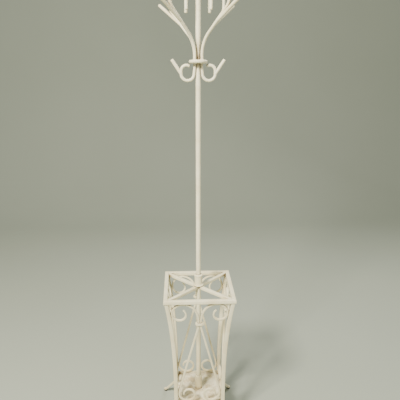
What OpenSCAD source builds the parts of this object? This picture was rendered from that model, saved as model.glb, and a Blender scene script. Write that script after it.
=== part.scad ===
// Wrought-iron coat stand with an umbrella cage at its foot and hooks and hat arms at its head.
// Millimetres, +Z up. The origin is on the floor, under the axis of the pole.
// The front of the cage faces -Y.

/* [Cage] */
// Width of the cage over its top frame
frame_w = 280; // [250:5:340]
// Width of the cage over its legs at the waist
waist_w = 210; // [190:5:240]
// Height of the top face of the frame
frame_z = 620; // [510:10:750]
// Height at which the legs are plumb
waist_z = 130; // [125:1:140]
// How late the legs sweep outward as they rise
sweep_power = 2.6; // [2.2:0.1:3]
// Side of the square leg and frame bar
bar = 16; // [12:1:20]
// Side of the square brace bar
brace_bar = 13; // [10:1:14]

/* [Scrollwork] */
// Width of the scroll bar, in the plane of the panel
scroll_w = 8; // [6:0.5:9.5]
// Depth of the scroll bar, through the panel
scroll_t = 8; // [6:0.5:12]
// Drop from the frame's top face to the middle of the collar
collar_drop = 112; // [104:2:130]
// Height of the collar
collar_h = 11; // [8:1:14]
// Half width of the collar over its rounded ends
collar_reach = 17; // [15:1:22]
// Gap between a scroll and the bar beside it
scroll_gap = 0.2; // [0.1:0.1:2]

/* [Tray] */
// Height of the tray floor's top face
tray_z = 126; // [118:1:140]
// Thickness of the tray floor
tray_t = 5; // [4:0.5:8]
// Height of the tray rim above the floor
rim_h = 11; // [6:1:13]
// Thickness of the tray rim
rim_t = 4; // [3:0.5:6]
// Width of the flat rails under the tray
tray_rail_w = 16; // [12:1:24]
// Thickness of the flat rails under the tray
tray_rail_t = 6; // [4:0.5:8]

/* [Feet] */
// Height of the joint between a leg and its foot
foot_joint_z = 102; // [96:1:106]
// Slope of the foot below the horizontal
foot_slope = 50; // [44:1:58]
// Radius of the bend above the toe
foot_toe_r = 9; // [7:0.5:16]
// Flat length of the toe
foot_toe = 6; // [4:0.5:12]
// Thickness of the foot bar
foot_t = 10; // [8:1:13]
// Height of the floor pad
pad_h = 4; // [3:1:8]
// Diameter of the floor pad
pad_d = 14; // [10:1:18]

/* [Pole] */
// Diameter of the pole
pole_d = 19; // [16:0.1:23]
// Height of the underside of the head plate
plate_z = 1491; // [1230:1:1780]
// Diameter of the pole and the spindle where they neck down at the head plate
neck_d = 11.5; // [10:0.5:14]
// Length over which the neck swells to full size
neck_h = 75; // [50:5:100]
// Diameter of the foot socket
socket_d = 29; // [28:1:36]
// Height of the foot socket above the tray floor
socket_h = 68; // [40:2:90]
// Height of the hub above the braces
hub_h = 50; // [36:2:64]
// Diameter of the hub's foot flange
hub_flange_d = 43; // [40:1:52]
// Diameter of the hub's body
hub_d = 31; // [29:1:36]
// Radial clearance of the pole in the hub and the socket
pole_fit = 0.15; // [0.1:0.05:0.4]

/* [Head] */
// Diameter of the head plate
plate_d = 68; // [60:2:80]
// Thickness of the head plate
plate_t = 12; // [8:1:14]
// Diameter of the hook rod
rod_d = 11; // [9:0.5:12]
// Diameter of the straight prongs
prong_d = 12; // [10:0.5:13]
// Inner radius of the loop of a coat hook
hook_r = 23.5; // [20:0.1:29]
// Straight height on the outside of the loop
hook_rise = 10; // [6:1:20]
// Lean of the hook's stem away from the pole
hook_lean = 6; // [5:1:10]
// Length of a coat hook's prong
hook_prong = 60; // [50:2:80]
// Radius at which an arm leaves the plate
arm_root = 18; // [17:0.5:22]
// Radius of the sweep at the foot of an arm
arm_sweep_r = 105; // [95:5:120]
// Slope of an arm above the horizontal where it runs straight
arm_slope = 44; // [40:1:50]
// Straight length of an arm
arm_run = 108; // [90:2:130]
// Radius of the curl at the top of an arm
arm_curl_r = 40; // [34:1:44]
// Straight stretch on the outside of the curl
arm_rise = 25; // [10:1:40]
// Straight stretch that hangs inside the curl
arm_hang = 57; // [40:1:64]
// Distance along an arm at which its prong starts
arm_prong_at = 52; // [30:2:70]
// Length of an arm's prong
arm_prong = 135; // [110:5:160]
// Slope of an arm's prong above the horizontal
arm_prong_slope = 34; // [30:1:38]
// Height of the spindle above the head plate
spindle_h = 280; // [230:5:330]
// Diameter of the spindle's shaft
spindle_d = 19; // [16:0.5:20]
// Height of the finial above the spindle
finial_h = 48; // [36:2:64]
// Diameter of the finial's ball
finial_d = 34; // [28:1:40]

/* [Fasteners] */
// Diameter of the stud through the head plate
stud_d = 7; // [5:0.5:8]
// Length of the stud on each side of the head plate
stud_grip = 24; // [16:1:30]
// Diameter of the set screws in the hub and the socket
set_screw_d = 6; // [4:1:8]
// Diameter of the tray screws
tray_screw_d = 5; // [3:0.5:8]

/* [Hidden] */

paint = "#e9e2c8";
metal = "#8d8a80";
rubber = "#3a3835";

round_fn = 96;
screw_fn = 48;
touch = 0.01;
through = 1;
tube_sides = 10;
bend_step = 12;
leg_steps = 28;
weld_gap = 0.05;

// Turns about the pole, from the front face or the front right corner
FRONT = 0;
RIGHT = 90;
BACK = 180;
LEFT = 270;

leg_inner = waist_w / 2 - bar;
leg_axis = (waist_w - bar) / 2;
pole_bore_d = pole_d + 2 * pole_fit;
brace_z = frame_z - (bar + brace_bar) / 2;
hub_z = brace_z + brace_bar;
plate_top = plate_z + plate_t;
tray_under = tray_z - tray_t;

// ---- curves and outlines ----

// Points of an arc, from angle a0 to angle a1; the first point is left out when it joins another run
function arc(c, r, a0, a1, skip = 0) =
    let (n = max(2, ceil(abs(a1 - a0) / bend_step)))
    [for (i = [skip:n]) let (a = a0 + (a1 - a0) * i / n) [c[0] + r * cos(a), c[1] + r * sin(a)]];

function reversed(p) = [for (i = [len(p) - 1:-1:0]) p[i]];
function unit(v) = v / norm(v);
function heading(p, i) = unit(p[min(i + 1, len(p) - 1)] - p[max(i - 1, 0)]);
function beside(p, d) = [for (i = [0:len(p) - 1]) let (t = heading(p, i)) p[i] + d * [-t[1], t[0]]];
function band(p, w) = concat(beside(p, w / 2), reversed(beside(p, -w / 2)));
function flipped(p) = [for (q = p) [-q[0], q[1]]];

// Half width of the cage over its legs at height z
function cage_half(z) =
    waist_w / 2 + (frame_w - waist_w) / 2 * pow(max(0, z - waist_z) / (frame_z - waist_z), sweep_power);

// Outline of one leg, or of a layer of a panel, from z0 to z1; it lies between two depths inside the cage
function layer(z0, z1, outer, inner) =
    let (zs = [for (i = [0:leg_steps]) z0 + (z1 - z0) * i / leg_steps])
    concat([for (z = zs) [cage_half(z) - outer, z]], reversed([for (z = zs) [cage_half(z) - inner, z]]));

// Radius and distance from the plate along the neck of a turned bar of diameter d
function neck(d) = [for (i = [0:6]) [neck_d / 2 + (d - neck_d) / 4 * (1 - cos(30 * i)), neck_h * i / 6]];

// Extrudes an outline drawn in X and Z along Y, over w, about y = 0
module upright(w) rotate([90, 0, 0]) linear_extrude(w, center = true) children();

// Sweeps a round rod along points in the X-Z plane
module rod(p, d) {
    sides = [for (j = [0:tube_sides - 1]) 360 / tube_sides * (j + 0.5)];
    rings = [for (i = [0:len(p) - 1]) let (t = heading(p, i))
        [for (a = sides)
            [p[i][0] - t[1] * cos(a) * d / 2, sin(a) * d / 2, p[i][1] + t[0] * cos(a) * d / 2]]];
    last = len(p) - 1;
    walls = [for (i = [0:last - 1]) for (j = [0:tube_sides - 1])
        let (a = i * tube_sides + j, b = i * tube_sides + (j + 1) % tube_sides)
        for (f = [[a, b, b + tube_sides], [a, b + tube_sides, a + tube_sides]]) f];
    ends = [[for (j = [tube_sides - 1:-1:0]) j], [for (j = [0:tube_sides - 1]) last * tube_sides + j]];
    polyhedron([for (r = rings) for (q = r) q], concat(walls, ends), convexity = 6);
}

// A straight round bar from point a of the X-Z plane, at a slope above the horizontal
module prong(a, slope, length, d)
    translate([a[0], 0, a[1]]) rotate([0, 90 - slope, 0]) cylinder(length, d = d, $fn = round_fn);

// ---- cage ----

module leg(turn) color(paint) rotate(turn) intersection() {
    translate([0, -frame_w / 2, 0]) upright(frame_w) polygon(layer(foot_joint_z, frame_z - bar, 0, bar));
    rotate(-90) translate([0, frame_w / 2, 0]) upright(frame_w)
        polygon(layer(foot_joint_z, frame_z - bar, 0, bar));
}

// One side of the top frame, mitred at the corners
module frame_bar(turn) color(paint) rotate(turn) translate([0, 0, frame_z - bar]) linear_extrude(bar)
    polygon([
        [-frame_w / 2, -frame_w / 2], [frame_w / 2, -frame_w / 2],
        [frame_w / 2 - bar, -frame_w / 2 + bar], [-frame_w / 2 + bar, -frame_w / 2 + bar]
    ]);

// A diagonal brace, cut to the frame's corner at one end and to the pole and its neighbours at the other
module brace(turn) color(paint) difference() {
    intersection() {
        rotate(turn - 45) translate([0, -brace_bar / 2, brace_z]) cube([frame_w, brace_bar, brace_bar]);
        rotate(turn) translate([0, bar - frame_w / 2, brace_z])
            cube([frame_w / 2 - bar, frame_w / 2 - bar, brace_bar]);
    }
    translate([0, 0, brace_z - through])
        cylinder(brace_bar + 2 * through, d = pole_bore_d, $fn = round_fn);
}

// ---- feet ----

foot_sweep_r = 20;
foot_bend = [0, foot_joint_z] + foot_sweep_r * [1 - cos(90 - foot_slope), -sin(90 - foot_slope)];
foot_toe_z = pad_h + foot_t / 2;
foot_run = (foot_bend[1] - foot_toe_z - foot_toe_r * (1 - cos(foot_slope))) / tan(foot_slope);
foot_eye = [foot_bend[0] + foot_run + foot_toe_r * sin(foot_slope), foot_toe_z + foot_toe_r];
foot_tip = foot_eye[0] + foot_toe;

// Centreline of a foot, out along its diagonal and up, from the leg's axis to the tip of the toe
foot_path = concat(
    arc([foot_sweep_r, foot_joint_z], foot_sweep_r, 180, 270 - foot_slope),
    arc(foot_eye, foot_toe_r, 270 - foot_slope, 270),
    [[foot_tip, foot_toe_z]]
);

// Places its children at a leg's axis, with X out along the diagonal
module at_leg(turn) rotate(turn) translate([leg_axis, -leg_axis, 0]) rotate(-45) children();

module foot(turn) color(paint) at_leg(turn) upright(bar) polygon(band(foot_path, foot_t));

module floor_pads() color(rubber) for (turn = [FRONT, RIGHT, BACK, LEFT])
    at_leg(turn) translate([foot_tip - pad_d / 2, 0, 0]) cylinder(pad_h, d = pad_d, $fn = round_fn);

// ---- scrollwork ----

// Each curl is a chain of arcs that tighten toward its eye; radii as shares of the first or of the panel
top_curl_share = 0.504;
top_curl_steps = [0.72, 0.56, 0.67];
foot_curl_shares = [0.416, 0.32, 0.281, 0.236];
scroll_lean = 25;
knee_r = 60;
top_curl_drop = 45;
collar_z = frame_z - collar_drop;
collar_t = scroll_t + 8;
collar_end_t = scroll_t + 4;
collar_fit = 0.5;
collar_play = 1.3;
scroll_in = (scroll_w + scroll_gap) / 2;
scroll_top_z = frame_z - bar - scroll_gap - scroll_w / 2;
scroll_foot_z = tray_z + rim_h + scroll_gap + scroll_w / 2;

// Radius of a curl centred at x and z that stops short of the leaning leg
function curl_side(x, z) =
    let (slope = (cage_half(z + 1) - cage_half(z - 1)) / 2)
    (cage_half(z) - bar - x) / norm([1, slope]) - scroll_w / 2 - scroll_gap;

// Centreline of one scroll bar, in a panel's X and Z, from the eye of the upper curl to the lower one's
function scroll_path() =
    let (
        span = cage_half(scroll_top_z - top_curl_drop) - bar,
        big = top_curl_share * (span - scroll_in),
        rise_z = collar_z + collar_h / 2,
        rise_r = big + (scroll_top_z - big - rise_z) / sin(scroll_lean),
        c0 = [scroll_in + rise_r, rise_z],
        c1 = c0 + (rise_r - big) * [-cos(scroll_lean), sin(scroll_lean)],
        first = curl_side(c1[0], scroll_top_z - top_curl_drop),
        second = curl_side(c1[0], scroll_top_z - first),
        side = curl_side(c1[0], scroll_top_z - second),
        top = side * top_curl_steps,
        c2 = [c1[0], scroll_top_z - side],
        c3 = c2 + [side - top[0], 0],
        c4 = c3 + [0, top[1] - top[0]],
        c5 = c4 + [top[2] - top[1], 0],
        foot = leg_inner * foot_curl_shares,
        d1 = [leg_inner - scroll_gap - scroll_w / 2 - foot[0], scroll_foot_z + foot[0]],
        d2 = [d1[0], scroll_foot_z + foot[1]],
        d3 = d2 + [foot[2] - foot[1], 0],
        d4 = d3 + [0, foot[2] - foot[3]],
        knee = [scroll_in + knee_r, collar_z - collar_h / 2],
        run = d1 - knee,
        splay = atan2(run[0], -run[1]) + asin((foot[0] + knee_r) / norm(run))
    )
    concat(
        arc(c5, top[2], 130, 180),
        arc(c4, top[1], 180, 270, 1),
        arc(c3, top[0], 270, 360, 1),
        arc(c2, side, 0, 90, 1),
        arc(c1, big, 90, 180 - scroll_lean, 1),
        arc(c0, rise_r, 180 - scroll_lean, 180, 1),
        arc(knee, knee_r, 180, 180 + splay),
        arc(d1, foot[0], splay, -90),
        arc(d2, foot[1], 270, 180, 1),
        arc(d3, foot[2], 180, 90, 1),
        arc(d4, foot[3], 90, -10, 1)
    );

module scroll(turn, side) color(paint) rotate(turn) intersection() {
    translate([0, -frame_w / 4, 0]) upright(frame_w / 2)
        polygon(band(side > 0 ? scroll_path() : flipped(scroll_path()), scroll_w));
    rotate(-90) upright(frame_w)
        polygon(layer(tray_z, frame_z, (bar - scroll_t) / 2, (bar + scroll_t) / 2));
}

// The strap that ties a panel's two scroll bars together
module collar(turn) color(paint) rotate(turn) translate([0, bar / 2 - cage_half(collar_z), collar_z])
    difference() {
        union() {
            cube([2 * collar_reach - collar_h, collar_t, collar_h], center = true);
            for (side = [-1, 1]) translate([side * (collar_reach - collar_h / 2), 0, 0]) rotate([90, 0, 0])
                cylinder(collar_end_t, d = collar_h, center = true, $fn = round_fn);
        }
        cube([2 * (scroll_w + collar_fit) + scroll_gap, scroll_t + 2 * collar_play, collar_h + 2 * through],
            center = true);
    }

// ---- tray ----

tray_half = waist_w / 2 - 1;
tray_screw_head_d = 2 * tray_screw_d;
tray_screw_crown_d = 1.2 * tray_screw_d;
tray_screw_head_h = 3;
tray_screw_out = tray_half - rim_t - tray_screw_head_d / 2 - 0.5;

module tray_screw_hole() translate([0, -tray_screw_out, tray_under - tray_rail_t - through])
    cylinder(tray_rail_t + tray_t + 2 * through, d = tray_screw_d, $fn = screw_fn);

module tray_rail(turn) color(paint) rotate(turn) difference() {
    translate([-leg_inner, -leg_axis - tray_rail_w / 2, tray_under - tray_rail_t])
        cube([2 * leg_inner, tray_rail_w, tray_rail_t]);
    tray_screw_hole();
}

// A square less its four corners, where the legs pass
module notched_square(half) difference() {
    square(2 * half, center = true);
    for (x = [-1, 1], y = [-1, 1]) translate([x * tray_half, y * tray_half]) square(2 * bar, center = true);
}

socket_boss_d = socket_d + 16;
socket_boss_h = 2;

module tray() color(paint) difference() {
    union() {
        translate([0, 0, tray_under]) linear_extrude(tray_t) notched_square(tray_half);
        translate([0, 0, tray_z - touch]) linear_extrude(rim_h + touch) difference() {
            notched_square(tray_half);
            notched_square(tray_half - rim_t);
        }
        translate([0, 0, tray_z - touch])
            cylinder(socket_boss_h + touch, d = socket_boss_d, $fn = round_fn);
    }
    translate([0, 0, tray_z]) cylinder(2 * socket_boss_h, d = socket_d, $fn = round_fn);
    for (turn = [FRONT, RIGHT, BACK, LEFT]) rotate(turn) tray_screw_hole();
}

module tray_screws() color(metal) for (turn = [FRONT, RIGHT, BACK, LEFT])
    rotate(turn) translate([0, -tray_screw_out, 0]) {
        translate([0, 0, tray_under - tray_rail_t])
            cylinder(tray_rail_t + tray_t + touch, d = tray_screw_d - 2 * weld_gap, $fn = screw_fn);
        translate([0, 0, tray_z])
            cylinder(tray_screw_head_h, d1 = tray_screw_head_d, d2 = tray_screw_crown_d, $fn = screw_fn);
    }

// ---- pole ----

socket_floor = 4;
socket_lip = 3;
socket_lip_h = 7;
socket_screw_z = tray_z + socket_h * 0.6;
hub_screw_z = hub_z + hub_h * 0.5;
hub_flange_h = 7;
hub_bead_r = 3.5;
set_screw_head = [set_screw_d + 4, 4];

module pole() color(paint) difference() {
    rotate_extrude($fn = round_fn) polygon(concat(
        [[0, tray_z + socket_floor], [pole_d / 2, tray_z + socket_floor]],
        [for (q = reversed(neck(pole_d))) [q[0], plate_z - q[1]]],
        [[0, plate_z]]
    ));
    translate([0, 0, plate_z - stud_grip]) cylinder(stud_grip + through, d = stud_d, $fn = round_fn);
}

module foot_socket() color(paint) difference() {
    translate([0, 0, tray_z]) rotate_extrude($fn = round_fn) polygon([
        [0, 0], [socket_d / 2, 0], [socket_d / 2, socket_h - socket_lip_h],
        [socket_d / 2 - socket_lip, socket_h], [0, socket_h]
    ]);
    translate([0, 0, tray_z + socket_floor]) cylinder(socket_h, d = pole_bore_d, $fn = round_fn);
    translate([0, 0, socket_screw_z]) rotate([-90, 0, 0])
        cylinder(socket_d, d = set_screw_d, $fn = screw_fn);
}

module hub() color(paint) difference() {
    translate([0, 0, hub_z]) rotate_extrude($fn = round_fn) union() {
        square([(hub_flange_d - hub_flange_h) / 2, hub_flange_h]);
        translate([(hub_flange_d - hub_flange_h) / 2, hub_flange_h / 2])
            circle(d = hub_flange_h, $fn = round_fn);
        square([hub_d / 2, hub_h]);
        translate([hub_d / 2 - 1, hub_h - hub_bead_r - 1]) circle(hub_bead_r, $fn = round_fn);
    }
    translate([0, 0, hub_z - through]) cylinder(hub_h + 2 * through, d = pole_bore_d, $fn = round_fn);
    translate([0, 0, hub_screw_z]) rotate([-90, 0, 0]) cylinder(hub_d, d = set_screw_d, $fn = screw_fn);
}

// A set screw that points at the pole from behind, with its head just clear of a body of radius reach
module set_screw(z, reach) translate([0, pole_d / 2, z]) rotate([-90, 0, 0]) {
    cylinder(reach - pole_d / 2 + touch, d = set_screw_d - 2 * weld_gap, $fn = screw_fn);
    translate([0, 0, reach - pole_d / 2])
        cylinder(set_screw_head[1], d = set_screw_head[0], $fn = screw_fn);
}

module set_screws() color(metal) {
    set_screw(socket_screw_z, socket_d / 2 + 1);
    set_screw(hub_screw_z, hub_d / 2 + 1);
}

// ---- head ----

module head_plate() color(paint) translate([0, 0, plate_z]) difference() {
    rotate_extrude($fn = round_fn) union() {
        square([(plate_d - plate_t) / 2, plate_t]);
        translate([(plate_d - plate_t) / 2, plate_t / 2]) circle(d = plate_t, $fn = round_fn);
    }
    translate([0, 0, -through]) cylinder(plate_t + 2 * through, d = stud_d, $fn = round_fn);
}

module head_stud() color(metal) translate([0, 0, plate_z - stud_grip + 1])
    cylinder(plate_t + 2 * (stud_grip - 1), d = stud_d - 2 * weld_gap, $fn = round_fn);

hook_curl_r = 20;
hook_curl_turn = 125;
hook_stub = 4;
hook_prong_slope = 56;
hook_in = (neck_d + rod_d) / 2 + 0.2;
hook_loop_z = plate_z - rod_d / 2 - 1 - hook_curl_r - hook_rise;
hook_lean_run = plate_z - hook_stub - hook_loop_z + hook_r * sin(hook_lean);
hook_eye = [hook_in + hook_lean_run * tan(hook_lean) + hook_r * cos(hook_lean), hook_loop_z];
hook_out = hook_eye[0] + hook_r;

// Centreline of a coat hook: stub under the plate, leaning stem, loop, and a curl back toward the plate
hook_path = concat(
    [[hook_in, plate_z], [hook_in, plate_z - hook_stub]],
    arc(hook_eye, hook_r, 180 + hook_lean, 360),
    arc([hook_out - hook_curl_r, hook_loop_z + hook_rise], hook_curl_r, 0, hook_curl_turn)
);

module coat_hook(turn) color(paint) rotate(turn - 90) rod(hook_path, rod_d);

module coat_prong(turn) color(paint) rotate(turn - 90) difference() {
    prong([hook_out, hook_loop_z], hook_prong_slope, hook_prong, prong_d);
    rod(hook_path, rod_d + 2 * weld_gap);
}

arm_stem = 14;
arm_bend = [arm_root, plate_top + arm_stem]
    + arm_sweep_r * [1 - cos(90 - arm_slope), sin(90 - arm_slope)];
arm_dir = [cos(arm_slope), sin(arm_slope)];
arm_curl = arm_bend + arm_run * arm_dir + arm_curl_r * [-arm_dir[1], arm_dir[0]];
arm_path = concat(
    [[arm_root, plate_top]],
    arc([arm_root + arm_sweep_r, plate_top + arm_stem], arm_sweep_r, 180, 90 + arm_slope),
    arc(arm_curl, arm_curl_r, arm_slope - 90, 0),
    arc(arm_curl + [0, arm_rise], arm_curl_r, 0, 180),
    [arm_curl + [-arm_curl_r, arm_rise - arm_hang]]
);

module arm(turn) color(paint) rotate(turn - 45) rod(arm_path, rod_d);

module hat_prong(turn) color(paint) rotate(turn - 45) difference() {
    prong(arm_bend + arm_prong_at * arm_dir, arm_prong_slope, arm_prong, prong_d);
    rod(arm_path, rod_d + 2 * weld_gap);
}

module spindle() color(paint) translate([0, 0, plate_top]) difference() {
    rotate_extrude($fn = round_fn)
        polygon(concat([[0, 0]], neck(spindle_d), [[spindle_d / 2, spindle_h], [0, spindle_h]]));
    translate([0, 0, -through]) cylinder(stud_grip + through, d = stud_d, $fn = round_fn);
}

finial_base_h = 4;
finial_neck_h = 14;

module finial() color(paint) translate([0, 0, plate_top + spindle_h]) rotate_extrude($fn = round_fn)
    intersection() {
        union() {
            square([spindle_d / 2 + 3, finial_base_h]);
            square([spindle_d / 2 - 3, finial_neck_h]);
            translate([0, finial_h - finial_d / 2 - finial_base_h]) circle(d = finial_d, $fn = round_fn);
            square([3, finial_h]);
        }
        square([finial_d, finial_h]);
    }

floor_pads();
foot(LEFT);  // foot_front_left
foot(FRONT);  // foot_front_right
foot(BACK);  // foot_back_left
foot(RIGHT);  // foot_back_right
leg(LEFT);  // leg_front_left
leg(FRONT);  // leg_front_right
leg(BACK);  // leg_back_left
leg(RIGHT);  // leg_back_right
frame_bar(FRONT);  // frame_front
frame_bar(BACK);  // frame_back
frame_bar(LEFT);  // frame_left
frame_bar(RIGHT);  // frame_right
brace(LEFT);  // brace_front_left
brace(FRONT);  // brace_front_right
brace(BACK);  // brace_back_left
brace(RIGHT);  // brace_back_right
tray_rail(FRONT);  // tray_rail_front
tray_rail(BACK);  // tray_rail_back
tray_rail(LEFT);  // tray_rail_left
tray_rail(RIGHT);  // tray_rail_right
tray();
tray_screws();
scroll(FRONT, -1);  // scroll_front_left
scroll(FRONT, 1);  // scroll_front_right
scroll(BACK, 1);  // scroll_back_left
scroll(BACK, -1);  // scroll_back_right
scroll(LEFT, 1);  // scroll_left_front
scroll(LEFT, -1);  // scroll_left_back
scroll(RIGHT, -1);  // scroll_right_front
scroll(RIGHT, 1);  // scroll_right_back
collar(FRONT);  // collar_front
collar(BACK);  // collar_back
collar(LEFT);  // collar_left
collar(RIGHT);  // collar_right
pole();
foot_socket();
hub();
set_screws();
head_plate();
head_stud();
coat_hook(LEFT);  // coat_hook_left
coat_hook(RIGHT);  // coat_hook_right
coat_prong(LEFT);  // coat_prong_left
coat_prong(RIGHT);  // coat_prong_right
arm(LEFT);  // arm_front_left
arm(FRONT);  // arm_front_right
arm(BACK);  // arm_back_left
arm(RIGHT);  // arm_back_right
hat_prong(LEFT);  // hat_prong_front_left
hat_prong(FRONT);  // hat_prong_front_right
hat_prong(BACK);  // hat_prong_back_left
hat_prong(RIGHT);  // hat_prong_back_right
spindle();
finial();
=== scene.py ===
import math
import bmesh
import bpy
from mathutils import Matrix, Vector, noise


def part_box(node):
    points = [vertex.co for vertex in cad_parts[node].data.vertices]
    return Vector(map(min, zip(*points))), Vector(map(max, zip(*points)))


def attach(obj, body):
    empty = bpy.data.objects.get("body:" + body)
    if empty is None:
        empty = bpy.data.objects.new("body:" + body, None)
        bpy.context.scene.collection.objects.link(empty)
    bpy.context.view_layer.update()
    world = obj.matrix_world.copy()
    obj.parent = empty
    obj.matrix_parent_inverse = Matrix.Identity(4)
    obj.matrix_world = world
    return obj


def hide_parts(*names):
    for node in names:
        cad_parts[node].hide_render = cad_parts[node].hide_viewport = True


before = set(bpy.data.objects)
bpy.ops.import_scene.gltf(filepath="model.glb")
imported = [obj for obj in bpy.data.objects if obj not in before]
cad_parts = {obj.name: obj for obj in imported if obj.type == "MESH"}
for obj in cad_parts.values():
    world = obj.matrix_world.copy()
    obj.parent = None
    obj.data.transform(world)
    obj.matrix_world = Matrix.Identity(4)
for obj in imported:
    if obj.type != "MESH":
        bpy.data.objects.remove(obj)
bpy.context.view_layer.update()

mm = 1000.0  # millimetres in a metre; pieces are modelled in millimetres and scaled at the end
corners = {"front_right": 0, "back_right": 90, "back_left": 180, "front_left": 270}  # turns about the pole
panels = {"front": 0, "right": 90, "back": 180, "left": 270}


def boxOf(node):
    low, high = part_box(node)
    return low * mm, high * mm


frameLow, frameHigh = boxOf("frame_front")
legLow = boxOf("leg_front_right")[0]
trayHigh = boxOf("tray")[1]
plateLow, plateHigh = boxOf("head_plate")
frameHalf, frameTop, barSide = frameHigh.x, frameHigh.z, frameHigh.z - frameLow.z
waistHalf, legFoot = legLow.x + barSide, legLow.z
legAxis = waistHalf - barSide / 2
plateUnder, plateTop = plateLow.z, plateHigh.z

view = {"place": (-0.0715, -1.684, 1.439), "tilt": 74.8, "turn": -2.65, "lens": 40.3}
lamps = {  # place, aim, size in metres, watts, colour
    "keyWindow": ((-1.5, -2.2, 3.3), (0, 0, 0.9), 0.8, 330, (1.0, 0.955, 0.86)),
    "fillWindow": ((2.4, -1.9, 1.7), (0, 0, 0.8), 1.8, 22, (0.93, 0.97, 1.0)),
    "backGlow": ((1.6, 1.5, 2.6), (0, 0, 1.0), 1.2, 46, (1.0, 0.98, 0.94)),
}
studio = {"sky": (0.82, 0.86, 0.80, 1), "strength": 0.36, "wallDistance": 4.2, "sweepRadius": 1.6,
          "reach": 7.0}


def setTheCamera():
    print("camera")
    lens = bpy.data.cameras.new("camera")
    lens.lens, lens.sensor_width, lens.clip_start = view["lens"], 36.0, 0.01
    camera = bpy.data.objects.new("camera", lens)
    camera.location = view["place"]
    camera.rotation_euler = (math.radians(view["tilt"]), 0, math.radians(view["turn"]))
    bpy.context.scene.collection.objects.link(camera)
    bpy.context.scene.camera = camera


def setTheLight():
    print("light")
    for name, (place, aim, size, watts, colour) in lamps.items():
        lamp = bpy.data.lights.new(name, "AREA")
        lamp.shape, lamp.size, lamp.energy, lamp.color = "DISK", size, watts, colour
        light = bpy.data.objects.new(name, lamp)
        light.location = place
        light.rotation_euler = (Vector(aim) - Vector(place)).to_track_quat("-Z", "Y").to_euler()
        bpy.context.scene.collection.objects.link(light)
    world = bpy.data.worlds.new("studio")
    world.use_nodes = True
    sky = world.node_tree.nodes["Background"]
    sky.inputs["Color"].default_value = studio["sky"]
    sky.inputs["Strength"].default_value = studio["strength"]
    bpy.context.scene.world = world


class Wire:  # an output of a node, for sums written with + - and *
    def __init__(self, finish, socket):
        self.finish, self.socket = finish, socket

    def sum(self, operation, first, second):
        return self.finish.add("ShaderNodeMath", {"operation": operation}, {0: first, 1: second})

    def __add__(self, other):
        return self.sum("ADD", self, other)

    def __sub__(self, other):
        return self.sum("SUBTRACT", self, other)

    def __rsub__(self, other):
        return self.sum("SUBTRACT", other, self)

    def __mul__(self, other):
        return self.sum("MULTIPLY", self, other)

    __radd__, __rmul__ = __add__, __mul__


class Finish:  # a material and the one way its nodes are made
    def __init__(self, name):
        self.material = bpy.data.materials.new(name)
        self.material.use_nodes = True
        self.tree = self.material.node_tree
        self.shader = self.tree.nodes["Principled BSDF"]

    def add(self, kind, settings=None, sockets=None, output=0):
        node = self.tree.nodes.new(kind)
        for setting, value in (settings or {}).items():
            setattr(node, setting, value)
        self.fill(node, sockets or {})
        return Wire(self, node.outputs[output])

    def fill(self, node, sockets):
        for socket, value in sockets.items():
            if isinstance(value, Wire):
                self.tree.links.new(value.socket, node.inputs[socket])
            else:
                node.inputs[socket].default_value = value

    def grain(self, vector, scale, detail=3.0, roughness=0.5):
        return self.add("ShaderNodeTexNoise", None,
                        {"Vector": vector, "Scale": scale, "Detail": detail, "Roughness": roughness}, "Fac")

    def between(self, value, low, high):  # 0 below low, 1 above high, smooth on the way
        return self.add("ShaderNodeMapRange", {"interpolation_type": "SMOOTHSTEP"},
                        {"Value": value, "From Min": low, "From Max": high}, "Result")

    def tint(self, mask, below, above):
        return self.add("ShaderNodeMix", {"data_type": "RGBA"}, {0: mask, 6: below, 7: above}, 2)

    def bump(self, height, distance, under=None):
        sockets = {"Height": height, "Distance": distance, "Strength": 1.0}
        if under:
            sockets["Normal"] = under
        return self.add("ShaderNodeBump", None, sockets, "Normal")

    def show(self, sockets):
        self.fill(self.shader, sockets)
        return self.material


# The dark brown colour is painted shade for hollows and the gaps between parts; the aged tone serves both real ageing
# and painted shade towards the floor.
ivory = {
    "fresh": (0.91, 0.855, 0.60, 1), "aged": (0.74, 0.61, 0.33, 1), "shadeBrown": (0.20, 0.125, 0.05, 1),
    "iron": (0.10, 0.075, 0.055, 1), "shadeReach": 0.028, "hammerScale": 85.0, "hammerDepth": 0.0007,
    "strokeScale": 1.1, "strokeStretch": 0.035, "strokeDepth": 0.00022, "cloudScale": 13.0,
    "wanderScale": 32.0, "chipScale": 190.0, "chipDepth": 0.00025,
}


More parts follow.
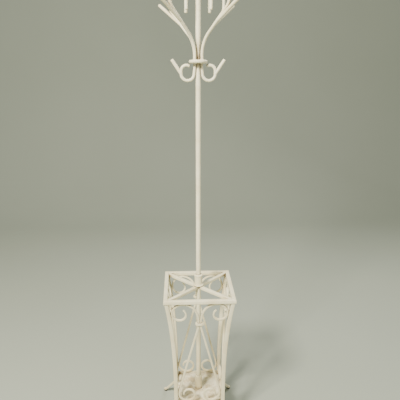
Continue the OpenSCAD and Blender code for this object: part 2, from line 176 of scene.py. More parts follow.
def ivoryPaint():
    finish = Finish("ivoryPaint")
    place = finish.add("ShaderNodeTexCoord", None, None, "Object")
    bar = finish.add("ShaderNodeAttribute", {"attribute_name": "barSpace"}, None, "Vector")
    stretch = (1.0, 1.0, ivory["strokeStretch"])  # the strokes run down the bar
    drawn = finish.add("ShaderNodeMapping", None, {"Vector": bar, "Scale": stretch}, "Vector")
    strokes = finish.grain(drawn, ivory["strokeScale"], 4.0, 0.6)
    cloud = finish.grain(place, ivory["cloudScale"], 4.0, 0.55)
    hammered = finish.grain(place, ivory["hammerScale"], 2.0, 0.45)
    speck = finish.grain(place, ivory["chipScale"], 3.0, 0.6)
    wander = finish.grain(place, ivory["wanderScale"], 4.0, 0.65)
    # Painted shade: ambient occlusion darkens hollows and the gaps between parts towards the dark brown, in patches.
    hollow = finish.add("ShaderNodeAmbientOcclusion", {"samples": 8},
                        {"Distance": ivory["shadeReach"]}, "AO")
    ridge = finish.add("ShaderNodeNewGeometry", None, None, "Pointiness")
    worn = finish.between(ridge, 0.53, 0.60) * finish.between(speck, 0.66, 0.70)
    worn = worn * finish.between(wander, 0.5, 0.62)
    paintedShade = finish.between(1.0 - hollow, 0.10, 0.58) * finish.between(wander, 0.15, 0.50)
    # Painted shade towards the floor: parts below about 0.75 m take more of the aged tone; the cloud adds real random
    # ageing.
    height = finish.add("ShaderNodeSeparateXYZ", None, {"Vector": place}, "Z")
    lowShadeAndAgeing = finish.between(1.0 - height, 0.25, 0.95) * 0.35 + finish.between(cloud, 0.42, 0.72) * 0.5
    colour = finish.tint(lowShadeAndAgeing, ivory["fresh"], ivory["aged"])
    colour = finish.tint(finish.between(strokes, 0.40, 0.75) * 0.35, colour, ivory["aged"])
    colour = finish.tint(paintedShade * 0.85, colour, ivory["shadeBrown"])
    colour = finish.tint(worn * 0.85, colour, ivory["iron"])
    relief = finish.bump(hammered, ivory["hammerDepth"])
    relief = finish.bump(strokes, ivory["strokeDepth"], relief)
    relief = finish.bump(1.0 - worn, ivory["chipDepth"], relief)
    return finish.show({"Base Color": colour, "Roughness": 0.34 + strokes * 0.16 + paintedShade * 0.22 + worn * 0.2,
                        "Normal": relief, "Specular IOR Level": 0.5})


stain = {
    "clean": (0.84, 0.78, 0.56, 1), "stained": (0.50, 0.38, 0.19, 1), "shadeReach": 0.02,
    "poolScale": 17.0, "poolDepth": 0.0016, "fleckScale": 75.0, "pitScale": 260.0, "pitDepth": 0.0002,
}


def trayPaint():
    finish = Finish("trayPaint")
    place = finish.add("ShaderNodeTexCoord", None, None, "Object")
    pool = finish.grain(place, stain["poolScale"], 5.0, 0.62)
    fleck = finish.grain(place, stain["fleckScale"], 5.0, 0.7)
    pits = finish.grain(place, stain["pitScale"], 2.0, 0.5)
    # Painted shade: ambient occlusion darkens the tray's hollows and joins towards the dark brown.
    hollow = finish.add("ShaderNodeAmbientOcclusion", {"samples": 8},
                        {"Distance": stain["shadeReach"]}, "AO")
    stained = finish.between(pool + fleck * 0.45, 0.66, 0.86)
    paintedShade = finish.between(1.0 - hollow, 0.15, 0.7)
    colour = finish.tint(stained * 0.75, stain["clean"], stain["stained"])
    colour = finish.tint(paintedShade * 0.6, colour, ivory["shadeBrown"])
    relief = finish.bump(pool + fleck * 0.5, stain["poolDepth"])
    relief = finish.bump(pits, stain["pitDepth"], relief)
    return finish.show({"Base Color": colour, "Roughness": 0.40 + stained * 0.25, "Normal": relief})


def zincSteel():
    finish = Finish("zincSteel")
    place = finish.add("ShaderNodeTexCoord", None, None, "Object")
    spangle = finish.grain(place, 420.0, 3.0, 0.6)
    dull = finish.between(spangle, 0.4, 0.7)
    colour = finish.tint(dull, (0.60, 0.59, 0.56, 1), (0.42, 0.40, 0.36, 1))
    return finish.show({"Base Color": colour, "Metallic": 1.0, "Roughness": 0.32 + dull * 0.2,
                        "Normal": finish.bump(spangle, 0.00006)})


def padRubber():
    finish = Finish("padRubber")
    place = finish.add("ShaderNodeTexCoord", None, None, "Object")
    scuff = finish.grain(place, 300.0, 4.0, 0.7)
    return finish.show({"Base Color": finish.tint(scuff, (0.035, 0.033, 0.03, 1), (0.075, 0.07, 0.065, 1)),
                        "Roughness": 0.7 + scuff * 0.15, "Normal": finish.bump(scuff, 0.0002)})


def floorFinish():
    finish = Finish("paleFloor")
    place = finish.add("ShaderNodeTexCoord", None, None, "Object")
    cloud = finish.grain(place, 1.3, 3.0, 0.5)
    return finish.show({"Base Color": finish.tint(cloud, (0.36, 0.39, 0.31, 1), (0.39, 0.42, 0.34, 1)),
                        "Roughness": 0.8})


print("materials")
paint, trayFinish, steel, rubber = ivoryPaint(), trayPaint(), zincSteel(), padRubber()


def arc(centre, radius, start, end, step=5.0):
    count = max(2, math.ceil(abs(end - start) / step))
    angles = [math.radians(start + (end - start) * i / count) for i in range(count + 1)]
    return [Vector((centre[0] + radius * math.cos(a), centre[1] + radius * math.sin(a))) for a in angles]


def chained(*runs):  # joins runs of points and drops the doubled point at each join
    points = []
    for run in runs:
        for point in run:
            if not points or (Vector(point) - points[-1]).length > 0.01:
                points.append(Vector(point))
    return points


def evened(points, gap=7.0):  # adds points on the long stretches
    even = [points[0]]
    for start, end in zip(points, points[1:]):
        count = max(1, round((end - start).length / gap))
        even += [start.lerp(end, i / count) for i in range(1, count + 1)]
    return even


def framesAlong(points, faceOf):
    frames, last = [], len(points) - 1
    for i, point in enumerate(points):
        along = (points[min(i + 1, last)] - points[max(i - 1, 0)]).normalized()
        across = faceOf(point).cross(along).normalized()
        placed = Matrix((across, along.cross(across), along)).transposed().to_4x4()
        placed.translation = point
        frames.append(placed)
    return frames


def drawnDown(frames, share, reach):  # a forged taper at both ends
    runs = [0.0]
    for before, after in zip(frames, frames[1:]):
        runs.append(runs[-1] + (after.translation - before.translation).length)
    tapered = []
    for placed, run in zip(frames, runs):
        size = share + (1 - share) * min(1.0, min(run, runs[-1] - run) / reach)
        tapered.append(placed @ Matrix.Diagonal((size, size, 1, 1)))
    return tapered


def roundedOver(frames, half, corner, steps=4, turn=88):  # eases the far end and leaves a small flat cap
    tip, back = frames[-1], Matrix.Translation((0, 0, -corner))
    eased = frames[:-1]
    for i in range(steps + 1):
        a = math.radians(turn * i / steps)
        size = (half - corner * (1 - math.cos(a))) / half
        ahead = Matrix.Translation((0, 0, corner * math.sin(a)))
        eased.append(tip @ back @ ahead @ Matrix.Diagonal((size, size, 1, 1)))
    return eased


def newMesh():  # barSpace is each point's place in a straightened bar, for the brush strokes
    bm = bmesh.new()
    bm.verts.layers.float_vector.new("barSpace")
    return bm


def squareSection(bm, width, depth, corner):
    sides = Matrix.Diagonal((width, depth, 1, 1))
    made = bmesh.ops.create_grid(bm, x_segments=1, y_segments=1, size=0.5, matrix=sides)
    bmesh.ops.bevel(bm, geom=made["verts"], offset=corner, segments=3, profile=0.5,
                    affect="VERTICES", material=-1)
    return next(iter(bm.faces))  # the outline is one face


def roundSection(bm, radius, sides=20):
    made = bmesh.ops.create_circle(bm, cap_ends=True, radius=radius, segments=sides)
    return made["verts"][0].link_faces[0]


def swept(bm, face, frames):
    space = bm.verts.layers.float_vector["barSpace"]
    for vert in face.verts:
        vert[space] = vert.co
    bmesh.ops.transform(bm, matrix=frames[0], verts=list(face.verts))
    run, startCap = 0.0, face
    for before, after in zip(frames, frames[1:]):
        grown = bmesh.ops.extrude_face_region(bm, geom=[face])["geom"]
        if face is not startCap:
            bmesh.ops.delete(bm, geom=[face], context="FACES_ONLY")
        face = next(part for part in grown if isinstance(part, bmesh.types.BMFace))
        bmesh.ops.transform(bm, matrix=after @ before.inverted(), verts=list(face.verts))
        run += (after.translation - before.translation).length
        for vert in face.verts:
            vert[space] = (vert[space].x, vert[space].y, run)


def softened(bm, offset, segments=3, sharper=35):
    least = math.radians(sharper)
    sharp = [edge for edge in bm.edges if edge.is_manifold and edge.calc_face_angle(0) > least]
    bmesh.ops.bevel(bm, geom=sharp, offset=offset, segments=segments, profile=0.5, affect="EDGES",
                    material=-1, clamp_overlap=True)


def lathed(bm, profile, steps=48):
    verts = [bm.verts.new((radius, 0, height)) for radius, height in profile]
    edges = [bm.edges.new(pair) for pair in zip(verts, verts[1:])]
    bmesh.ops.spin(bm, geom=verts + edges, cent=(0, 0, 0), axis=(0, 0, 1), angle=math.tau,
                   steps=steps, use_merge=True)
    bmesh.ops.remove_doubles(bm, verts=bm.verts, dist=0.001)
    bmesh.ops.delete(bm, geom=[edge for edge in bm.edges if edge.is_wire], context="EDGES")


def turned(bm, turn):
    bmesh.ops.rotate(bm, cent=(0, 0, 0), matrix=Matrix.Rotation(math.radians(turn), 3, "Z"), verts=bm.verts)


def ownSpace(bm):  # a turned or cast piece uses its own place for the strokes
    space = bm.verts.layers.float_vector["barSpace"]
    for vert in bm.verts:
        vert[space] = vert.co


forge = {"bar": 0.22, "rod": 0.16, "frame": 0.15, "turned": 0.12, "size": 26.0, "mastSize": 34.0}


def handForged(bm, depth=forge["bar"], size=forge["size"]):  # the slight unevenness of hammered bar
    bm.normal_update()
    for vert in bm.verts:
        vert.co += vert.normal * depth * noise.noise(vert.co / size)


def copied(node):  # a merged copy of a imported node, in millimetres
    bm = newMesh()
    bm.from_mesh(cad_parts[node].data)
    bmesh.ops.scale(bm, vec=(mm, mm, mm), verts=bm.verts)
    bmesh.ops.remove_doubles(bm, verts=bm.verts, dist=0.005)
    bmesh.ops.dissolve_limit(bm, angle_limit=math.radians(1), verts=bm.verts, edges=bm.edges)
    return bm


def piece(name, bm, finish, slot, *nodes, turn=0, sharper=42):
    bmesh.ops.recalc_face_normals(bm, faces=bm.faces)
    turned(bm, turn)
    bmesh.ops.scale(bm, vec=(1 / mm, 1 / mm, 1 / mm), verts=bm.verts)
    for face in bm.faces:
        face.smooth = True
    for edge in bm.edges:
        edge.smooth = not edge.is_manifold or edge.calc_face_angle(0) < math.radians(sharper)
    mesh = bpy.data.meshes.new(name)
    bm.to_mesh(mesh)
    bm.free()
    mesh.materials.append(finish)
    made = bpy.data.objects.new(name, mesh)
    bpy.context.scene.collection.objects.link(made)
    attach(made, "root")
    if nodes:
        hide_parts(*nodes)


def nameOf(prefix, place):
    return prefix + "".join(word.capitalize() for word in place.split("_"))


cage = {"plumbHeight": 130.0, "sweepPower": 2.6, "barCorner": 2.4, "brace": 13.0, "braceCorner": 2.2,
        "braceStart": 9.7, "braceTuck": 4.0}  # a brace starts clear of the pole and tucks into its corner


def cageHalf(z):
    rise = max(0.0, z - cage["plumbHeight"]) / (frameTop - cage["plumbHeight"])
    return waistHalf + (frameHalf - waistHalf) * rise ** cage["sweepPower"]


def makeLegs():
    print("legs")
    count = 72
    heights = [legFoot + (frameTop - barSide - legFoot) * i / count for i in range(count + 1)]
    for place, turn in corners.items():
        bm = newMesh()
        axis = [cageHalf(z) - barSide / 2 for z in heights]
        frames = [Matrix.Translation((out, -out, z)) for out, z in zip(axis, heights)]
        swept(bm, squareSection(bm, barSide, barSide, cage["barCorner"]), frames)
        handForged(bm)
        piece(nameOf("leg", place), bm, paint, "ivory_paint", "leg_" + place, turn=turn)


def makeFrame():
    print("top frame and braces")
    middle = frameTop - barSide / 2
    for place, turn in panels.items():
        bm = newMesh()
        points = evened([Vector((-frameHalf, 0, 0)), Vector((frameHalf, 0, 0))], 10.0)
        across = framesAlong(points, lambda point: Vector((0, -1, 0)))
        swept(bm, squareSection(bm, barSide, barSide, cage["barCorner"]), across)
        bmesh.ops.translate(bm, vec=(0, barSide / 2 - frameHalf, middle), verts=bm.verts)
        for side in (-1, 1):  # mitres
            cut = bmesh.ops.bisect_plane(bm, geom=bm.verts[:] + bm.edges[:] + bm.faces[:],
                                         plane_co=(0, 0, 0), plane_no=(side, 1, 0),
                                         clear_outer=True)["geom_cut"]
            bmesh.ops.holes_fill(bm, edges=[part for part in cut if isinstance(part, bmesh.types.BMEdge)])
        handForged(bm, forge["frame"])
        piece(nameOf("frame", place), bm, paint, "ivory_paint", "frame_" + place, turn=turn)
    reach = (frameHalf - barSide) * math.sqrt(2) - cage["brace"] / 2
    for place, turn in corners.items():
        bm = newMesh()
        points = evened([Vector((cage["braceStart"], 0, middle)),
                         Vector((reach + cage["braceTuck"], 0, middle))], 9.0)
        frames = framesAlong(points, lambda point: Vector((0, -1, 0)))
        swept(bm, squareSection(bm, cage["brace"], cage["brace"], cage["braceCorner"]), frames)
        handForged(bm)
        piece(nameOf("brace", place), bm, paint, "ivory_paint", "brace_" + place, turn=turn - 45)


scroll = {"width": 8.0, "depth": 8.0, "corner": 1.5, "gap": 0.2, "collarDrop": 112.0, "collarHeight": 11.0,
          "lean": 25.0, "kneeRadius": 60.0, "curlDrop": 45.0, "bigShare": 0.504,
          "topSteps": (0.72, 0.56, 0.67), "footShares": (0.416, 0.32, 0.281, 0.236), "eyeShare": 0.74, "eyeReach": 45.0,
          "eyeEase": 2.4, "collarEase": 1.3}


def curlSide(x, z):  # radius of a curl centred there that stops short of the leaning leg
    slope = (cageHalf(z + 1) - cageHalf(z - 1)) / 2
    return (cageHalf(z) - barSide - x) / math.hypot(1, slope) - scroll["width"] / 2 - scroll["gap"]


def scrollLine():  # the centreline of one scroll bar and the four places where it touches the cage
    half, gap, width = scroll["width"] / 2, scroll["gap"], scroll["width"]
    inner, legInner = (width + gap) / 2, waistHalf - barSide
    topZ, footZ = frameTop - barSide - gap - half, trayHigh.z + gap + half
    collarZ, collarHalf = frameTop - scroll["collarDrop"], scroll["collarHeight"] / 2
    span = cageHalf(topZ - scroll["curlDrop"]) - barSide
    lean = math.radians(scroll["lean"])
    big = scroll["bigShare"] * (span - inner)
    riseZ = collarZ + collarHalf
    riseR = big + (topZ - big - riseZ) / math.sin(lean)
    riseEye = Vector((inner + riseR, riseZ))
    bigEye = riseEye + (riseR - big) * Vector((-math.cos(lean), math.sin(lean)))
    side = scroll["curlDrop"]
    for _ in range(3):  # the radius sets the height, which sets the radius
        side = curlSide(bigEye.x, topZ - side)
    top = [side * share for share in scroll["topSteps"]]
    eye2 = Vector((bigEye.x, topZ - side))
    eye3 = eye2 + Vector((side - top[0], 0))
    eye4 = eye3 + Vector((0, top[1] - top[0]))
    eye5 = eye4 + Vector((top[2] - top[1], 0))
    foot = [legInner * share for share in scroll["footShares"]]
    toe1 = Vector((legInner - gap - half - foot[0], footZ + foot[0]))
    toe2 = Vector((toe1.x, footZ + foot[1]))
    toe3 = toe2 + Vector((foot[2] - foot[1], 0))
    toe4 = toe3 + Vector((0, foot[2] - foot[3]))
    knee = Vector((inner + scroll["kneeRadius"], collarZ - collarHalf))
    run = toe1 - knee
    splay = math.degrees(math.atan2(run.x, -run.y) + math.asin((foot[0] + scroll["kneeRadius"]) / run.length))
    touches = [(bigEye.x, frameTop - barSide), (bigEye.x + side + half, eye2.y),
               (toe1.x + foot[0] + half, toe1.y), (toe1.x, trayHigh.z)]
    line = chained(
        arc(eye5, top[2], 130, 180), arc(eye4, top[1], 180, 270), arc(eye3, top[0], 270, 360),
        arc(eye2, side, 0, 90), arc(bigEye, big, 90, 180 - scroll["lean"]),
        arc(riseEye, riseR, 180 - scroll["lean"], 180, 2.0),
        arc(knee, scroll["kneeRadius"], 180, 180 + splay, 3.0), arc(toe1, foot[0], splay, -90),
        arc(toe2, foot[1], 270, 180), arc(toe3, foot[2], 180, 90), arc(toe4, foot[3], 90, -10))
    return line, touches


def panelFace(point):  # outward normal of the front panel at a point
    slope = (cageHalf(point.z + 1) - cageHalf(point.z - 1)) / 2
    return Vector((0, -1, -slope)).normalized()


def makeScrolls():
    print("scrolls and collars")
    line = evened(scrollLine()[0])
    sides = {"front": {"left": -1, "right": 1}, "back": {"left": 1, "right": -1},
             "left": {"front": 1, "back": -1}, "right": {"front": -1, "back": 1}}
    for place, turn in panels.items():
        for half, side in sides[place].items():
            bm = newMesh()
            points = [Vector((side * p.x, barSide / 2 - cageHalf(p.y), p.y)) for p in line]
            frames = drawnDown(framesAlong(points, panelFace), scroll["eyeShare"], scroll["eyeReach"])
            halfWidth = scroll["width"] / 2 * scroll["eyeShare"]
            frames = roundedOver(frames, halfWidth, scroll["eyeEase"])
            swept(bm, squareSection(bm, scroll["width"], scroll["depth"], scroll["corner"]), frames)
            handForged(bm)
            name = f"scroll_{place}_{half}"
            piece(nameOf("scroll", f"{place}_{half}"), bm, paint, "ivory_paint", name, turn=turn)
        bm = copied("collar_" + place)
        softened(bm, scroll["collarEase"])
        ownSpace(bm)
        piece(nameOf("collar", place), bm, paint, "ivory_paint", "collar_" + place)


foot = {"sweepRadius": 20.0, "slope": 50.0, "toeRadius": 9.0, "toe": 6.0, "thick": 10.0, "padHeight": 4.0,
        "padRadius": 7.0, "corner": 2.0, "toeShare": 0.86, "toeReach": 34.0,
        "toeEase": 2.6, "padChamfer": 1.0, "padEase": 0.6}


def footLine():
    slope, sweep, bendR = math.radians(foot["slope"]), foot["sweepRadius"], foot["toeRadius"]
    bend = Vector((0, legFoot)) + sweep * Vector((1 - math.sin(slope), -math.cos(slope)))
    toeZ = foot["padHeight"] + foot["thick"] / 2
    run = (bend.y - toeZ - bendR * (1 - math.cos(slope))) / math.tan(slope)
    eye = Vector((bend.x + run + bendR * math.sin(slope), toeZ + bendR))
    return chained(arc((sweep, legFoot), sweep, 180, 270 - foot["slope"]),
                   arc(eye, bendR, 270 - foot["slope"], 270), [(eye.x + foot["toe"], toeZ)])


def makeFeet():
    print("feet and pads")
    line = footLine()
    for place, turn in corners.items():
        bm = newMesh()
        points = [Vector((p.x, 0, p.y)) for p in evened(line, 5.0)]
        frames = framesAlong(points, lambda point: Vector((0, -1, 0)))
        plain = len(frames) // 2
        frames = frames[:plain] + drawnDown(frames, foot["toeShare"], foot["toeReach"])[plain:]
        frames = roundedOver(frames, foot["thick"] / 2 * foot["toeShare"], foot["toeEase"])
        swept(bm, squareSection(bm, foot["thick"], barSide, foot["corner"]), frames)
        handForged(bm)
        turned(bm, -45)
        bmesh.ops.translate(bm, vec=(legAxis, -legAxis, 0), verts=bm.verts)
        piece(nameOf("foot", place), bm, paint, "ivory_paint", "foot_" + place, turn=turn)
    out = legAxis + (line[-1].x - foot["padRadius"]) / math.sqrt(2)
    radius, height = foot["padRadius"], foot["padHeight"]
    chamfer, ease = foot["padChamfer"], foot["padEase"]
    bm = newMesh()
    lathed(bm, [(0, 0), (radius - chamfer, 0), (radius, chamfer), (radius, height - ease),
                (radius - ease, height), (0, height)], 32)
    bmesh.ops.translate(bm, vec=(out, -out, 0), verts=bm.verts)
    for turn in (90, 180):  # two feet, then all four
        again = bmesh.ops.duplicate(bm, geom=bm.verts[:] + bm.edges[:] + bm.faces[:])["geom"]
        bmesh.ops.rotate(bm, cent=(0, 0, 0), matrix=Matrix.Rotation(math.radians(turn), 3, "Z"),
                         verts=[part for part in again if isinstance(part, bmesh.types.BMVert)])
    piece("floorPads", bm, rubber, "pad_rubber", "floor_pads")


tray = {"ease": 0.7, "railEase": 0.9}


def makeTray():
    print("tray")
    bm = copied("tray")
    softened(bm, tray["ease"], 2)
    ownSpace(bm)
    piece("tray", bm, trayFinish, "ivory_paint", "tray")
    for place in panels:
        bm = copied("tray_rail_" + place)
        softened(bm, tray["railEase"], 2)
        ownSpace(bm)
        piece(nameOf("trayRail", place), bm, paint, "ivory_paint", "tray_rail_" + place)


pole = {"diameter": 19.0, "neck": 11.5, "neckLength": 75.0}
socket = {"lip": 3.0, "lipHeight": 7.0, "floor": 4.0, "bite": 1.0, "ease": 0.9}
hub = {"flange": 43.0, "flangeHeight": 7.0, "body": 31.0, "bead": 3.5, "beadInset": 1.0, "clearance": 0.1,
       "fillet": 3.2, "filletRise": 2.6, "mouth": 1.6, "mouthDrop": 1.2}


def neckProfile(diameter):  # radius and distance from the plate
    rise = (diameter - pole["neck"]) / 4
    return [(pole["neck"] / 2 + rise * (1 - math.cos(math.pi * i / 10)), pole["neckLength"] * i / 10)
            for i in range(11)]


def makePole():
    print("pole, socket and hub")
    radius = pole["diameter"] / 2
    low = boxOf("pole")[0]
    bm = newMesh()
    shaft = evened([Vector((radius, low.z)), Vector((radius, plateUnder - pole["neckLength"]))], 14.0)
    neck = [(r, plateUnder - away) for r, away in reversed(neckProfile(pole["diameter"]))][1:]
    lathed(bm, [(0, low.z)] + [tuple(p) for p in shaft] + neck + [(0, plateUnder)])
    handForged(bm, forge["turned"], forge["mastSize"])
    ownSpace(bm)
    piece("pole", bm, paint, "ivory_paint", "pole")
    low, high = boxOf("foot_socket")
    outer = high.x
    bm = newMesh()
    inside, mouth, floorTop = radius - socket["bite"], high.z - socket["bite"], low.z + socket["floor"]
    lathed(bm, [(inside, mouth), (outer - socket["lip"], high.z), (outer, high.z - socket["lipHeight"]),
                (outer, low.z), (0, low.z), (0, floorTop), (inside, floorTop), (inside, mouth)])
    softened(bm, socket["ease"])
    handForged(bm, forge["turned"])
    ownSpace(bm)
    piece("footSocket", bm, paint, "ivory_paint", "foot_socket")
    low, high = boxOf("hub")
    flange, body, bead, bore = hub["flange"] / 2, hub["body"] / 2, hub["bead"], radius + hub["clearance"]
    flangeEye = (flange - hub["flangeHeight"] / 2, low.z + hub["flangeHeight"] / 2)
    filletEye = (body + hub["fillet"], low.z + hub["flangeHeight"] + hub["filletRise"])
    beadEye = (body - hub["beadInset"], high.z - bead - hub["beadInset"])
    outline = [(bore, low.z)] + [tuple(p) for p in arc(flangeEye, hub["flangeHeight"] / 2, -90, 75, 15)]
    outline += [tuple(p) for p in arc(filletEye, hub["fillet"], 250, 180, 14)]
    outline += [tuple(p) for p in arc(beadEye, bead, -62, 90, 14)]
    outline += [(radius + hub["mouth"], high.z), (bore, high.z - hub["mouthDrop"]), (bore, low.z)]
    bm = newMesh()
    lathed(bm, outline)
    handForged(bm, forge["turned"])
    ownSpace(bm)
    piece("hub", bm, paint, "ivory_paint", "hub")


head = {"rod": 11.0, "prong": 12.0, "prongEase": 2.4, "rodEase": 3.5, "gap": 0.2}
hook = {"loop": 23.5, "rise": 10.0, "lean": 6.0, "curl": 20.0, "curlTurn": 125.0, "stub": 4.0,
        "plateGap": 1.0, "prongSlope": 56.0, "prongLength": 60.0}
arm = {"root": 18.0, "stem": 14.0, "sweep": 105.0, "slope": 44.0, "run": 108.0, "curl": 40.0, "rise": 25.0,
       "hang": 57.0, "prongAt": 52.0, "prongLength": 135.0, "prongSlope": 34.0}
hookRoot = (pole["neck"] + head["rod"]) / 2 + head["gap"]  # a hook's stem from the axis


def rodPiece(name, line, radius, ease, node, turn):
    bm = newMesh()
    points = [Vector((p[0], 0, p[1])) for p in evened(line)]
    frames = roundedOver(framesAlong(points, lambda point: Vector((0, -1, 0))), radius, ease)
    swept(bm, roundSection(bm, radius), frames)
    handForged(bm, forge["rod"])
    piece(name, bm, paint, "ivory_paint", node, turn=turn)


def straightLine(start, slope, length):
    aim = Vector((math.cos(math.radians(slope)), math.sin(math.radians(slope))))
    return [Vector(start), Vector(start) + aim * length]


def hookLine():  # the centreline and the point the prong leaves
    rodHalf, lean = head["rod"] / 2, math.radians(hook["lean"])
    loopZ = plateUnder - rodHalf - hook["plateGap"] - hook["curl"] - hook["rise"]
    leanRun = plateUnder - hook["stub"] - loopZ + hook["loop"] * math.sin(lean)
    eye = Vector((hookRoot + leanRun * math.tan(lean) + hook["loop"] * math.cos(lean), loopZ))
    out = Vector((eye.x + hook["loop"], loopZ))
    curlEye = out + Vector((-hook["curl"], hook["rise"]))
    return chained([(hookRoot, plateUnder), (hookRoot, plateUnder - hook["stub"])],
                   arc(eye, hook["loop"], 180 + hook["lean"], 360),
                   arc(curlEye, hook["curl"], 0, hook["curlTurn"])), out


def makeHooks():
    print("coat hooks")
    line, out = hookLine()
    for place, turn in (("left", 180), ("right", 0)):
        rodPiece(nameOf("coatHook", place), line, head["rod"] / 2, head["rodEase"],
                 "coat_hook_" + place, turn)
        prong = straightLine(out, hook["prongSlope"], hook["prongLength"])
        rodPiece(nameOf("coatProng", place), prong, head["prong"] / 2, head["prongEase"],
                 "coat_prong_" + place, turn)


def armLine():  # the centreline and the point where its straight run begins
    slope = math.radians(arm["slope"])
    ahead = Vector((math.cos(slope), math.sin(slope)))
    bend = Vector((arm["root"], plateTop + arm["stem"]))
    bend += arm["sweep"] * Vector((1 - math.sin(slope), math.cos(slope)))
    eye = bend + arm["run"] * ahead + arm["curl"] * Vector((-ahead.y, ahead.x))
    upper = eye + Vector((0, arm["rise"]))
    sweepEye = (arm["root"] + arm["sweep"], plateTop + arm["stem"])
    return chained([(arm["root"], plateTop)],
                   arc(sweepEye, arm["sweep"], 180, 90 + arm["slope"], 3.0),
                   arc(eye, arm["curl"], arm["slope"] - 90, 0), arc(upper, arm["curl"], 0, 180),
                   [(upper.x - arm["curl"], upper.y - arm["hang"])]), bend


def makeArms():
    print("hat arms")
    line, bend = armLine()
    slope = math.radians(arm["slope"])
    start = bend + arm["prongAt"] * Vector((math.cos(slope), math.sin(slope)))
    for place, turn in corners.items():
        rodPiece(nameOf("arm", place), line, head["rod"] / 2, head["rodEase"], "arm_" + place, turn - 45)
        prong = straightLine(start, arm["prongSlope"], arm["prongLength"])
        rodPiece(nameOf("hatProng", place), prong, head["prong"] / 2, head["prongEase"],
                 "hat_prong_" + place, turn - 45)


finial = {"tip": 4.0, "collar": 3.0, "collarHeight": 4.0, "waist": 3.0, "waistHeight": 6.0,
          "pointHalf": 2.6, "pointDrop": 1.4, "ease": 0.8}


def makeMast():
    print("plate, spindle and finial")
    radius, thick = plateHigh.x, plateTop - plateUnder
    bm = newMesh()
    rim = arc((radius - thick / 2, (plateTop + plateUnder) / 2), thick / 2, -90, 90, 15)
    lathed(bm, [(0, plateUnder)] + [tuple(p) for p in rim] + [(0, plateTop)])
    handForged(bm, forge["frame"])
    ownSpace(bm)
    piece("headPlate", bm, paint, "ivory_paint", "head_plate")
    high = boxOf("spindle")[1]
    shaftHalf = high.x
    bm = newMesh()
    neck = [(r, plateTop + away) for r, away in neckProfile(2 * shaftHalf)]
    shaft = evened([Vector(neck[-1]), Vector((shaftHalf, high.z))], 14.0)
    lathed(bm, [(0, plateTop)] + neck + [tuple(p) for p in shaft[1:]] + [(0, high.z)])
    handForged(bm, forge["turned"], forge["mastSize"])
    ownSpace(bm)
    piece("spindle", bm, paint, "ivory_paint", "spindle")
    low, high = boxOf("finial")
    ball, collar = high.x, shaftHalf + finial["collar"]
    centre = (0, high.z - finial["tip"] - ball)
    outline = [(0, low.z), (collar, low.z), (collar, low.z + finial["collarHeight"]),
               (shaftHalf - finial["waist"], low.z + finial["waistHeight"])]
    outline += [tuple(p) for p in arc(centre, ball, -62, 78, 7)]
    outline += [(finial["pointHalf"], high.z - finial["pointDrop"]), (0, high.z)]
    bm = newMesh()
    lathed(bm, outline)
    softened(bm, finial["ease"], 2, 50)
    handForged(bm, forge["turned"])
    ownSpace(bm)
    piece("finial", bm, paint, "ivory_paint", "finial")


weld = {"bead": 2.6, "rise": 3.4, "belly": 0.45, "bite": 1.0, "rough": 0.5, "roughSize": 2.6,
        "lump": 7.4, "lumpRough": 0.28, "lumpGrain": 0.42, "tack": 5.2, "tackOut": 1.5,
        "crotchIn": 1.5, "crotchUp": 5.0, "jointAhead": 9.0, "jointDown": 2.0}


def beadRound(bm, place, radius, up):  # the fillet of weld where a rod stands on a plate
    bead, rise = weld["bead"], weld["rise"]
    ring = newMesh()
    inside, belly = radius - weld["bite"], weld["belly"]
    lathed(ring, [(inside, 0), (radius + bead, 0), (radius + bead * belly, rise * belly),
                  (radius + 0.1, rise), (inside, rise), (inside, 0)], 28)
    bmesh.ops.subdivide_edges(ring, edges=ring.edges[:], cuts=1, smooth=0.6)
    for vert in ring.verts:
        away = Vector((vert.co.x, vert.co.y, 0))
        if away.length > radius + 0.2:
            grain = noise.noise((vert.co + Vector(place)) / weld["roughSize"])
            vert.co += away.normalized() * weld["rough"] * grain
    placed = Matrix.Translation(place) @ Matrix.Diagonal((1, 1, up, 1))
    bmesh.ops.transform(ring, matrix=placed, verts=ring.verts)
    addTo(bm, ring)


def lump(bm, place, size, stretch=(1, 1, 1)):  # a blob of weld between two bars
    blob = newMesh()
    bmesh.ops.create_icosphere(blob, subdivisions=3, radius=size / 2)
    for vert in blob.verts:
        vert.co *= 1 + weld["lumpRough"] * noise.noise((vert.co * weld["lumpGrain"]) + Vector(place))
    placed = Matrix.Translation(place) @ Matrix.Diagonal((*stretch, 1))
    bmesh.ops.transform(blob, matrix=placed, verts=blob.verts)
    addTo(bm, blob)


def addTo(bm, part):
    bmesh.ops.recalc_face_normals(part, faces=part.faces)
    spare = bpy.data.meshes.new("spare")
    part.to_mesh(spare)
    part.free()
    bm.from_mesh(spare)
    bpy.data.meshes.remove(spare)


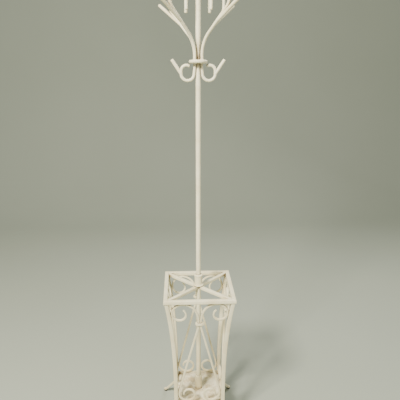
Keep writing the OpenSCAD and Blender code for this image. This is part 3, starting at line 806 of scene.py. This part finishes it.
def makeWelds():
    print("welds")
    rodHalf, crotch = head["rod"] / 2, hookLine()[1]
    bm = newMesh()
    out = arm["root"] / math.sqrt(2)
    for x, y in ((1, 1), (1, -1), (-1, 1), (-1, -1)):
        beadRound(bm, (x * out, y * out, plateTop), rodHalf, 1)
    for side in (-1, 1):
        beadRound(bm, (side * hookRoot, 0, plateUnder), rodHalf, -1)
        lump(bm, (side * (crotch.x - weld["crotchIn"]), 0, crotch.y + weld["crotchUp"]), weld["lump"],
             (1.0, 1.25, 1.3))
    bend = armLine()[1]
    slope = math.radians(arm["slope"])
    joint = bend + (arm["prongAt"] + weld["jointAhead"]) * Vector((math.cos(slope), math.sin(slope)))
    for turn in corners.values():
        a = math.radians(turn - 45)
        lump(bm, (joint.x * math.cos(a), joint.x * math.sin(a), joint.y - weld["jointDown"]),
             weld["lump"], (1.3, 1.3, 1.1))
    ownSpace(bm)
    piece("rodWelds", bm, paint, "ivory_paint")
    touches = scrollLine()[1]
    bm = newMesh()
    for turn in panels.values():
        swing = Matrix.Rotation(math.radians(turn), 4, "Z")
        for sign in (-1, 1):
            for x, z in touches:
                depth = barSide / 2 - cageHalf(z) + weld["tackOut"]
                lump(bm, swing @ Vector((sign * x, depth, z)), weld["tack"])
    ownSpace(bm)
    piece("scrollWelds", bm, paint, "ivory_paint")


def makeScrews():
    print("screws")
    for node, name in (("set_screws", "setScrews"), ("tray_screws", "trayScrews"), ("head_stud", "headStud")):
        bm = copied(node)
        softened(bm, 0.35, 2)
        piece(name, bm, steel, "bare_steel", node)


def layTheFloor():
    print("floor")
    reach, wall, sweep = studio["reach"], studio["wallDistance"], studio["sweepRadius"]
    bm = bmesh.new()
    profile = [Vector((-reach, 0))] + arc((wall - sweep, sweep), sweep, -90, 0, 6) + [Vector((wall, reach))]
    verts = [bm.verts.new((-reach, p.x, p.y)) for p in profile]
    edges = [bm.edges.new(pair) for pair in zip(verts, verts[1:])]
    grown = bmesh.ops.extrude_edge_only(bm, edges=edges)["geom"]
    far = [part for part in grown if isinstance(part, bmesh.types.BMVert)]
    bmesh.ops.translate(bm, vec=(2 * reach, 0, 0), verts=far)
    bmesh.ops.recalc_face_normals(bm, faces=bm.faces)
    for face in bm.faces:
        face.smooth = True
    mesh = bpy.data.meshes.new("floor")
    bm.to_mesh(mesh)
    bm.free()
    mesh.materials.append(floorFinish())
    floor = bpy.data.objects.new("floor", mesh)
    bpy.context.scene.collection.objects.link(floor)


setTheCamera()
setTheLight()
makeFeet()
makeLegs()
makeFrame()
makeScrolls()
makeTray()
makePole()
makeHooks()
makeArms()
makeMast()
makeScrews()
makeWelds()
layTheFloor()
